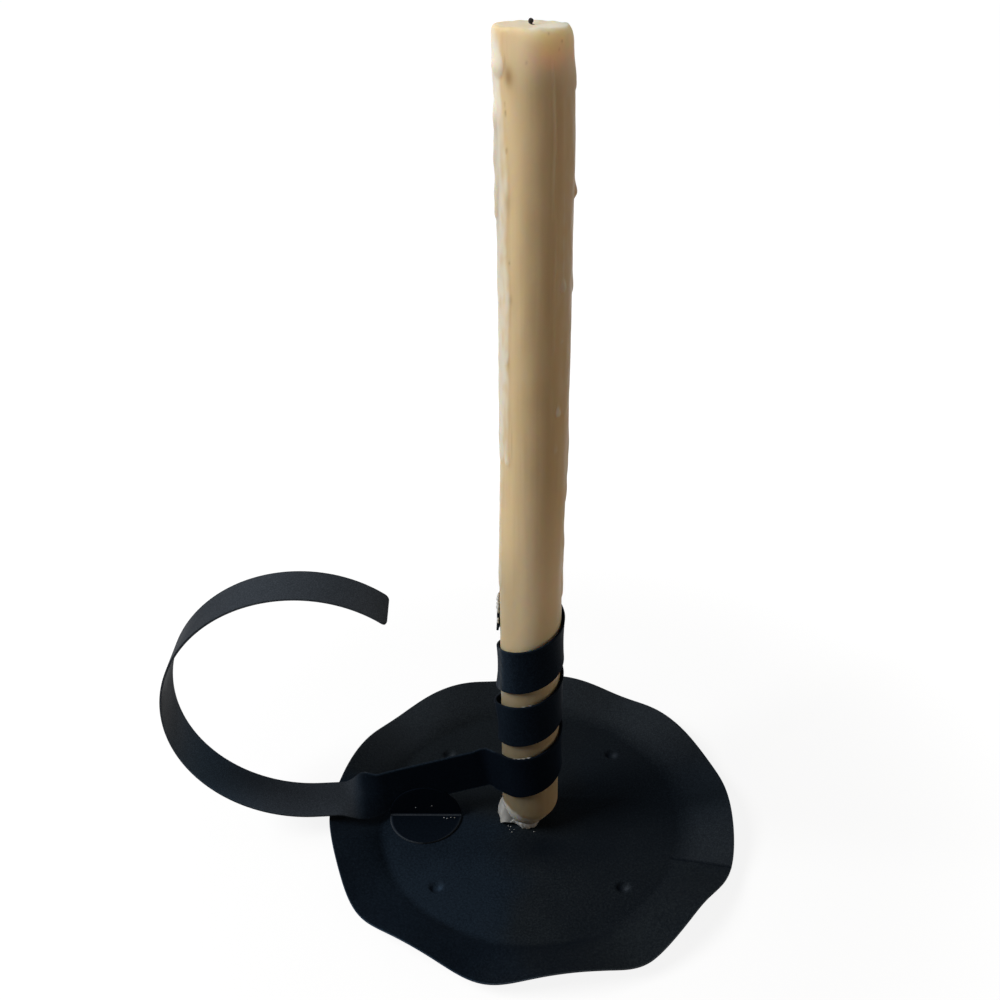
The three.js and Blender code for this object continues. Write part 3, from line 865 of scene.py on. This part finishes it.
def wax_run(angle, height, run):
    """Thickness of one run of wax at each place on the candle, with the drop at its lower end."""
    turn, top, end, half_width, thickness, drop_width, drop_thickness, _ = run
    above = height - end
    wander = 0.5 * np.sin(height / 9 + turn) + 0.3 * np.sin(height / 3.7 + 2 * turn)
    wander = wander * min(half_width, 1) ** 2 * smooth(above, 0, 10)
    middle = turn * DEGREE + wander / CANDLE_RADIUS
    away = np.arctan2(np.sin(angle - middle), np.cos(angle - middle)) * CANDLE_RADIUS
    drop = np.exp(-(((above - drop_width) / (1.6 * drop_width)) ** 2))
    width = half_width + (drop_width - half_width) * drop
    lift = thickness + (drop_thickness - thickness) * drop
    tip = np.clip(above / drop_width, 0, 1)
    cap = np.sqrt(1 - (1 - tip) ** 2)
    fade = smooth(-height, -top, -top + 8)
    across = np.clip(1 - (away / np.maximum(width * cap, 0.01)) ** 2, 0, 1) ** 0.7
    return lift * cap * fade * across * (above > 0)


def wax_stains_and_shade(angle, height):
    stains_and_shade = np.zeros_like(height)
    for turn, level, half_width, half_height, strength in WAX_STAINS_AND_SHADE:
        across = bell(angle, turn * DEGREE, half_width / CANDLE_RADIUS)
        stains_and_shade += strength * across * np.exp(-(((height - level) / half_height) ** 2))
    return np.clip(stains_and_shade, 0, 1)


def candle_profile(angle, shaded):
    """Radius and height at each place, from the foot over the shoulder into the pool."""
    butt = np.concatenate([[0, 0.3], np.linspace(1, BUTT_HEIGHT, 14)])
    shaft = np.linspace(BUTT_HEIGHT, CANDLE_HEIGHT - SHOULDER_DEPTH, CANDLE_ROWS)[1:]
    height = np.concatenate([butt, shaft])
    radius = butt_radius(height)
    radius[0] -= 0.5
    roundness = 0.4 + 0.6 * shaded
    turn = np.radians([8, 16, 25, 35, 45, 55, 65, 74, 82, 90])[:, None]
    shoulder_radius = MELT_RADIUS + (CANDLE_RADIUS - MELT_RADIUS) * np.abs(np.cos(turn)) ** roundness
    shoulder_height = CANDLE_HEIGHT - SHOULDER_DEPTH * (1 - np.sin(turn) ** roundness)
    pool_share = np.array([0.97, 0.92, 0.85, 0.7, 0.55, 0.35, 0.18])
    pool_height = CANDLE_HEIGHT - POOL_DEPTH * (1 - pool_share**3)
    pool_radius = MELT_RADIUS * pool_share
    radius = np.vstack([radius[:, None] + 0 * angle, shoulder_radius, pool_radius[:, None] + 0 * angle])
    height = np.vstack([height[:, None] + 0 * angle, shoulder_height, pool_height[:, None] + 0 * angle])
    return radius, height


def candle_painted_glow(height, shaded, outside):
    """Painted glow at the burnt top, where light passes through the wax, and painted bounce light above the
    grip on the side away from the window.
    """
    top = smooth(height, CANDLE_HEIGHT - 17, CANDLE_HEIGHT - 4) * (shaded * outside + 0.7 * (1 - outside))
    painted_bounce = 0.55 * smooth(-height, -170, -112) * smooth(height, 70, 95) * shaded
    return np.maximum(top, painted_bounce)


def candle_painted_shade(angle, height, shaded):
    """Painted shade on the wax: low in the grip, along the left edge and on the lip."""
    # Painted shade low in the grip, which the hoop and spiral shade
    low = smooth(-height, -118, -52) * (0.87 - 0.22 * smooth(np.cos(angle), -0.5, 0.7))
    shade_strength = 0.15 + 0.17 * smooth(height, 215, 240)
    edge = bell(angle, 188 * DEGREE, 26 * DEGREE) * smooth(-height, -274, -266) * shade_strength
    dim = 0.4 * smooth(-height, -145, -108) * bell(angle, 195 * DEGREE, 55 * DEGREE)
    lip = smooth(height, CANDLE_HEIGHT - 4, CANDLE_HEIGHT - 1) * 0.1 * (1 - shaded)
    return np.maximum(np.maximum(low, edge), dim) + lip


def butt_film(angle, height, place):
    """White film that the crust left on the butt."""
    film_top = 9 + 3.6 * smooth(-angle / DEGREE, -275, -215) + 0.6 * ripple(place, 2, 7)
    strength = 0.25 + 0.75 * bell(angle, 212 * DEGREE, 45 * DEGREE)
    return smooth(film_top - height, -0.7, 0.7) * strength


def make_candle(wax):
    angle = np.linspace(0, 2 * math.pi, CANDLE_COLUMNS, endpoint=False)[None, :]
    facing_shade = np.cos(angle - SHADE_ANGLE)
    shaded = smooth(facing_shade, -0.35, 0.6)
    radius, height = candle_profile(angle, shaded)
    place = np.stack([radius * np.cos(angle), radius * np.sin(angle), height * 0.4], axis=-1)
    outside = smooth(radius, MELT_RADIUS * 0.98, CANDLE_RADIUS * 0.97)

    runs = [wax_run(angle, height, run) for run in WAX_RUNS]
    lumps = 1 + 0.6 * ripple(place, 2.4, 5)
    thickness = sum(run**4 for run in runs) ** 0.25 * outside * lumps
    uneven = 0.1 * ripple(place, 5, 2) * (radius > BUTT_RADIUS)
    out = radius + thickness + uneven - foot_chip(angle, height)
    bow = BOW * smooth(height, 110, 180) * smooth(-height, -CANDLE_HEIGHT - 4, -CANDLE_HEIGHT + 30)
    top_wobble = 0.3 * ripple(place, 2.8, 3) * smooth(height, CANDLE_HEIGHT - 4, CANDLE_HEIGHT)
    rings = [out * np.cos(angle) + bow, out * np.sin(angle), height + top_wobble + STAND_HEIGHT]
    points, faces = skin(np.stack(rings, axis=-1))

    cloudy = 1 + 0.7 * ripple(place, 1.8, 9)
    white = [run[-1] * smooth(film * cloudy, 0.03, 0.3) for film, run in zip(runs, WAX_RUNS)]
    coat = np.max(white, axis=0) * outside
    # Clearer wax at the shaded top, which scatters light further, and a painted glow in its tint
    clear_and_glowing = smooth(height, CANDLE_HEIGHT - 13, CANDLE_HEIGHT - 3) * smooth(facing_shade, 0.15, 0.85)
    values = {
        "coat": with_ends(coat, 0, 0),
        "glow": with_ends(candle_painted_glow(height, shaded, outside), 0, 0.2),
        "clear_and_glowing": with_ends(clear_and_glowing, 0, 1),
        "painted_shade": with_ends(candle_painted_shade(angle, height, shaded), 0.8, 0.2),
        "stains_and_shade": with_ends(wax_stains_and_shade(angle, height), 0, 0),
        "crusted": with_ends(butt_film(angle, height, place), 0.6, 0),
    }
    add_piece("candle_body", points, faces, "taper", wax, "candle", values)


def make_wick(charred):
    """The cord through the candle. Its burnt end leans to the left and ends in a round knob."""
    top = CANDLE_HEIGHT - POOL_DEPTH
    root = Vector((WICK_ROOT, 0, top - 0.4))
    knob = Vector((WICK_ROOT - WICK_LEAN, 0, top + WICK_KNOB_HEIGHT))
    path = [(Vector((0, 0, z)), WICK_RADIUS) for z in np.linspace(0, top - 3 * WICK_RADIUS, 40)]
    neck = knob - UP * (WICK_KNOB * math.sin(60 * DEGREE))
    for share in np.linspace(0, 1, 8):
        path.append((root.lerp(neck, share), BURNT_RADIUS))
    for turn in np.radians(np.linspace(-50, 85, 10)):
        path.append((knob + UP * (WICK_KNOB * math.sin(turn)), WICK_KNOB * math.cos(turn)))
    turn = np.linspace(0, 2 * math.pi, 24, endpoint=False)
    rings = []
    for i, (middle, radius) in enumerate(path):
        strand = 1 + 0.1 * np.cos(3 * turn + 0.6 * i)
        x = middle.x + radius * strand * np.cos(turn)
        y = middle.y + radius * strand * np.sin(turn)
        rings.append(np.stack([x, y, np.full_like(x, middle.z + STAND_HEIGHT)], axis=-1))
    points, faces = skin(rings)
    add_piece("wick_cord", points, faces, "taper", charred, "wick")


def make_crust(white_wax):
    """The ragged ring of set wax round the foot, with the broken flake that leans on the candle."""
    angle = np.linspace(0, 2 * math.pi, 360, endpoint=False)[:, None]
    levels = np.array([0, 0.15, 0.3, 0.45, 0.6, 0.75, 0.88, 0.96])
    share = np.concatenate([levels, [1], levels[::-1]])[None, :]
    layer = np.concatenate([np.ones(len(levels)), [0.5], np.zeros(len(levels))])[None, :]
    heavy = bell(angle, CRUST_HEAVY_ANGLE, 60 * DEGREE)
    rim = np.concatenate([8 * np.cos(angle), 8 * np.sin(angle), 0 * angle], axis=1)
    ragged = (1 + CRUST_RAGGED * ripple(rim, 1.5, 8))[:, None]
    thickness = CRUST_LEAST_THICKNESS + (CRUST_THICKNESS - CRUST_LEAST_THICKNESS) * heavy
    band = CRUST_LEAST_HEIGHT + (CRUST_HEIGHT - CRUST_LEAST_HEIGHT) * heavy
    degrees = angle / DEGREE
    flake = smooth(degrees, 160, 184) * smooth(-degrees, -222, -197) * (1 + 0.3 * (ragged - 1))
    peak = np.clip(1 - np.abs(degrees - CRUST_FLAKE_ANGLE / DEGREE) / 26, 0, 1) * ragged**0.5
    notch = 0.7 * bell(angle, CRUST_NOTCH_ANGLE, 10 * DEGREE)
    height = (notch + (1 - notch) * share) * (band * ragged + CRUST_FLAKE_HEIGHT * peak)
    seat = butt_radius(height) - foot_chip(angle, height) + CRUST_SEAT
    radius = seat + layer * thickness * ragged * (1 - 0.93 * share)
    radius = radius + CRUST_FLAKE_REACH * flake * (1 - share) * layer
    place = np.stack([radius * np.cos(angle), radius * np.sin(angle), height + 0 * radius], axis=-1)
    radius = radius + 0.3 * layer * (1 - 0.7 * share) * ripple(place, 1.2, 4)
    rings = np.stack([radius * np.cos(angle), radius * np.sin(angle), height + STAND_HEIGHT], axis=-1)
    points, faces = skin(rings, loop=True)
    # Painted shade greys the flake, the right side and the notch
    painted_shade = 0.17 + 0.4 * flake * smooth(-degrees, -212, -200) + 0.45 * smooth(degrees, 262, 300)
    painted_shade = painted_shade + 0.35 * bell(angle, 227 * DEGREE, 20 * DEGREE)
    painted_shade = painted_shade + 0.5 * bell(angle, CRUST_NOTCH_ANGLE, 9 * DEGREE)
    values = {"painted_shade": np.ravel(painted_shade + 0 * radius)}
    add_piece("crust_ring", points, faces, "holder", white_wax, "wax_crust", values)


def make_blobs(name, places, painted_shade, white_wax):
    """Small lumps of wax in one piece. A place is a middle, a size on each axis and an outward direction."""
    work = bmesh.new()
    for seed, (middle, size, outward) in enumerate(places):
        lump = bmesh.ops.create_icosphere(work, subdivisions=3, radius=1)["verts"]
        facing = UP.rotation_difference(outward)
        for vertex in lump:
            rough = 1 + 0.35 * noise.noise(vertex.co * 1.3 + Vector((seed * 3.7, 0, 0)))
            shaped = Vector(a * b for a, b in zip(vertex.co * rough, size))
            shaped.rotate(facing)
            vertex.co = Vector(middle) + shaped
    points = [vertex.co[:] for vertex in work.verts]
    faces = [[vertex.index for vertex in face.verts] for face in work.faces]
    work.free()
    # Painted shade greys each lump
    values = {"painted_shade": np.repeat(painted_shade, len(points) // len(places))}
    add_piece(name, points, faces, "holder", white_wax, attributes=values)


def make_crumbs(arm_end, white_wax):
    """Crumbs of wax on the pan floor and on the bracket."""
    by_foot = [(-7.6, -5.6, 0.24), (-7.1, -8.4, 0.22), (-6.3, -7.0, 0.15)]
    by_foot += [(-8.6, -5.2, 0.2), (-8.0, -6.9, 0.13), (1.6, -8.2, 0.2)]
    places = []
    for x, y, size in by_foot:
        places.append(((x, y, FLOOR_TOP + 0.25 * size), (size, 0.8 * size, 0.6 * size), UP))
    front = arm_end.y - STRIP_THICKNESS / 2 - SEAT_GAP - BRACKET_SHEET
    towards_front = Vector((0, -1, 0))
    for x, z, size in [(-45.8, 4.8, 0.16), (-39.2, 5.8, 0.15)]:
        places.append(((x, front - 0.05, STAND_HEIGHT + z), (size, size, 0.5 * size), towards_front))
    shelf = STAND_HEIGHT + BRACKET_SHEET
    for x, away, size in [(-34.4, 1.5, 0.24), (-33.2, 1.9, 0.2), (-31.8, 1.4, 0.16), (-30.2, 1.5, 0.2)]:
        places.append(((x, front - away, shelf + 0.2 * size), (1.4 * size, 0.7 * size, 0.5 * size), UP))
    # The crumbs lie in shade, painted grey
    make_blobs("wax_crumbs", places, [0.55] * len(places), white_wax)


def make_strip_wax(stations, white_wax):
    """Wax that set on the spiral: in the seam on top of its lower turns, and over its cut end."""
    even_sweep = SPIRAL_SWEEP - STRIP_CORNER / SPIRAL_RADIUS
    first = len(stations) - math.ceil(even_sweep / SPIRAL_STEP) - CORNER_STEPS
    places = []
    for degrees in (30, 38, 47, 58, 408, 420):
        position, ahead, across, width = stations[first + round(degrees * DEGREE / SPIRAL_STEP)]
        face = ahead.cross(across)
        # The sine only makes the sizes differ
        size = 0.11 + 0.04 * math.sin(degrees)
        places.append((position + across * (width / 2) - face * 0.3, (0.9, 1.5 * size, size), UP))
    seams = len(places)
    position, ahead, across, _ = stations[-1]
    lumps = [(6.5, 0.6), (5.2, 0.75), (3.8, 0.8), (2.4, 0.8), (1.0, 0.6), (-2.1, 0.45), (-3.1, 0.4)]
    for along, size in lumps:
        places.append((position + across * along + ahead * 0.2, (0.8 * size, size, 1.5 * size), UP))
    # Painted shade greys the lumps, most in the seam
    painted_shade = [0.75] * seams + [0.45] * len(lumps)
    make_blobs("strip_wax", places, painted_shade, white_wax)


def make_floor(level):
    """A white floor that keeps a faint shadow, and looks white to the camera and in reflections."""
    mesh = bpy.data.meshes.new("studio_floor")
    side = 4.0
    corners = [(-side, -side, level), (side, -side, level), (side, side, level), (-side, side, level)]
    mesh.from_pydata(corners, [], [(0, 1, 2, 3)])
    graph = material_graph("studio_floor")
    place = graph.add("TexCoord", {}, "Object")
    away = graph.add("VectorMath", {0: place}, "Value", operation="LENGTH")
    seen = graph.math("MULTIPLY", seen_ray(graph), graph.ramp(away, 0.12, 0.32, 0.88, 1.0))
    graph.paint(
        Base_Color=(0.14, 0.14, 0.14, 1),
        Roughness=1.0,
        Specular_IOR_Level=0.0,
        Emission_Color=(1, 1, 1, 1),
        Emission_Strength=seen,
    )
    mesh.materials.append(graph.owner)
    floor = bpy.data.objects.new("studio_floor", mesh)
    bpy.context.scene.collection.objects.link(floor)


def seen_ray(graph):
    """1 for a ray that shows the background: from the camera, in a reflection or through glass."""
    path = graph.add("LightPath", {}, "Is Camera Ray").node
    shown = graph.math("MAXIMUM", path.outputs["Is Camera Ray"], path.outputs["Is Glossy Ray"])
    return graph.math("MAXIMUM", shown, path.outputs["Is Transmission Ray"])


def make_world():
    world = bpy.data.worlds.new("studio")
    bpy.context.scene.world = world
    graph = Graph(world, "Background")
    strength = graph.ramp(seen_ray(graph), 0, 1, 0.11, 1.0)
    graph.paint(Color=(1, 1, 1, 1), Strength=strength)


def make_lamp(name, location, size, energy, colour):
    lamp = bpy.data.lights.new(name, "AREA")
    lamp.shape = "RECTANGLE"
    lamp.size, lamp.size_y = size
    lamp.energy = energy
    lamp.color = colour
    light = bpy.data.objects.new(name, lamp)
    light.location = location
    aim = Vector((0, 0, 0.1)) - light.location
    light.rotation_euler = aim.to_track_quat("-Z", "Y").to_euler()
    bpy.context.scene.collection.objects.link(light)


def make_lamps():
    """A soft window at the left and a little to the front, and a weak warm glow from a room at the right."""
    white = (1, 1, 1)
    warm = (1, 0.73, 0.48)
    make_lamp("window", location=(-0.865, -0.21, 0.88), size=(0.64, 0.45), energy=14.6, colour=white)
    make_lamp("room", location=(0.75, -0.25, 0.14), size=(0.6, 0.3), energy=1.1, colour=warm)


def make_camera():
    data = bpy.data.cameras.new("photo_camera")
    data.sensor_width = CAMERA_SENSOR
    data.lens = CAMERA_LENS
    data.shift_x = CAMERA_SHIFT
    camera = bpy.data.objects.new("photo_camera", data)
    place = Matrix.Translation(CAMERA_PLACE)
    tilt = Matrix.Rotation(CAMERA_TILT, 4, "X")
    roll = Matrix.Rotation(CAMERA_ROLL, 4, "Z")
    camera.matrix_world = place @ tilt @ roll
    bpy.context.scene.collection.objects.link(camera)
    bpy.context.scene.camera = camera


def make_object():
    paint = paint_material()
    wax = wax_material()
    white_wax = white_wax_material()
    charred = charred_material()
    stations, wear_and_sheen, arm_end = walk_strip()
    make_pan(paint)
    make_strip(stations, wear_and_sheen, paint)
    make_bracket(arm_end, paint)
    make_candle(wax)
    make_wick(charred)
    make_crust(white_wax)
    make_crumbs(arm_end, white_wax)
    make_strip_wax(stations, white_wax)


bpy.context.scene.view_settings.view_transform = "Standard"
make_camera()
make_world()
make_lamps()
make_object()
make_floor(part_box("drip_pan")[0].z)
